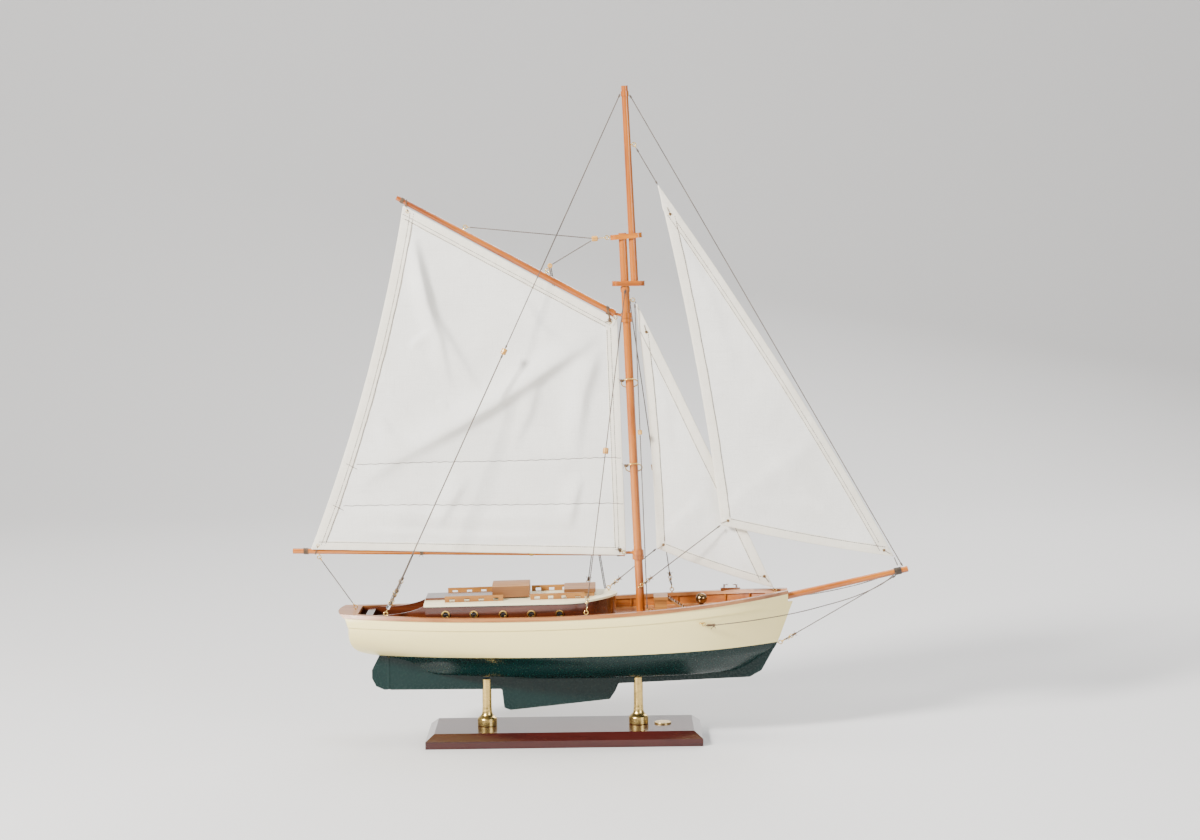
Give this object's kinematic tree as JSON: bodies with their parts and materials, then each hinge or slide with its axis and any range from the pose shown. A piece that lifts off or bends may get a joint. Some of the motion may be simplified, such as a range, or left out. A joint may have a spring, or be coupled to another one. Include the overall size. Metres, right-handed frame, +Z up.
{
  "type": "model sailing ship",
  "caption": "Decorative model of a gaff-rigged cutter: painted wooden hull with a mahogany cabin, varnished spars, cloth sails and thread rigging, on a mahogany board with brass pedestals.",
  "frame": {"origin": "centre of the base board's underside", "axes": "+X towards the bow, +Y to port, +Z up"},
  "size_m": [0.6174, 0.1328, 0.6531],
  "materials": {
    "base_wood": "gloss lacquered dark mahogany",
    "pedestal_brass": "polished",
    "fixing_steel": "satin",
    "bottom_paint": "dark green gloss paint",
    "stock_brass": "polished",
    "topside_paint": "cream semi-gloss paint",
    "rail_wood": "varnished",
    "deck_wood": "varnished planks",
    "cabin_wood": "gloss varnished mahogany",
    "roof_paint": "off-white paint",
    "fitting_brass": "polished",
    "trim_wood": "varnished",
    "vent_bronze": "polished bronze",
    "chock_chrome": "polished",
    "spar_wood": "varnished",
    "dark_metal": "dark",
    "block_wood": "polished boxwood",
    "sail_cloth": "woven cotton",
    "thread": "twisted cotton thread"
  },
  "bodies": {
    "hull": {"base_board": "base_wood", "base_plaque": "pedestal_brass", "pedestal_aft": "pedestal_brass", "pedestal_fore": "pedestal_brass", "pedestal_fixings": "fixing_steel", "keel": "bottom_paint", "hull_bottom": "bottom_paint", "topside_port": "topside_paint", "topside_stbd": "topside_paint", "bulwark_port": "topside_paint", "bulwark_stbd": "topside_paint", "rail_cap_port": "rail_wood", "rail_cap_stbd": "rail_wood", "bulwark_posts": "rail_wood", "deck": "deck_wood", "cockpit_well": "cabin_wood", "bulkheads": "deck_wood", "mast_step": "deck_wood", "bow_block": "rail_wood", "cockpit_coaming": "cabin_wood", "thwart": "cabin_wood", "portholes": "fitting_brass", "cabin_walls": "cabin_wood", "cabin_roof": "roof_paint", "grab_rails": "trim_wood", "slide_board": "trim_wood", "fore_hatch": "trim_wood", "fore_scuttle": "trim_wood", "vent_ball": "vent_bronze", "bow_chock": "chock_chrome", "mast_lower": "spar_wood", "topmast": "spar_wood", "mast_cap_lower": "spar_wood", "mast_cap_upper": "spar_wood", "bowsprit": "spar_wood", "bowsprit_band": "dark_metal", "mast_bands": "spar_wood", "jib": "sail_cloth", "staysail": "sail_cloth", "backstays": "thread", "shrouds": "thread", "topmast_stay": "thread", "bowsprit_rigging": "thread", "headsail_halyards": "thread", "headsail_sheets": "thread", "mast_halyard": "thread", "peak_halyard": "thread", "mainsheet": "thread", "eye_bolts": "fitting_brass", "blocks": "block_wood"},
    "main_rig": {"boom": "spar_wood", "gaff": "spar_wood", "boom_collar": "spar_wood", "gaff_collar": "spar_wood", "mast_hoops": "fitting_brass", "mainsail": "sail_cloth", "spar_fittings": "fitting_brass"},
    "rudder": {"rudder": "bottom_paint", "rudder_stock": "stock_brass"},
    "companion_hatch": {"companion_hatch": "trim_wood"}
  },
  "joints": [
    {"name": "main_rig_swing", "type": "hinge", "parent": "hull", "child": "main_rig", "pos_m": [0.0793, 0, 0.0948], "axis": [-0.0366, 0, 0.9993], "range_deg": [-6, 6], "deforming": ["mainsheet", "peak_halyard"]},
    {"name": "rudder_hinge", "type": "hinge", "parent": "hull", "child": "rudder", "pos_m": [-0.1765, 0, 0.052], "axis": [0, 0, 1], "range_deg": [-30, 30]},
    {"name": "hatch_slide", "type": "slide", "parent": "hull", "child": "companion_hatch", "axis": [-0.9998, 0, -0.019], "range_m": [0, 0.062]}
  ]
}
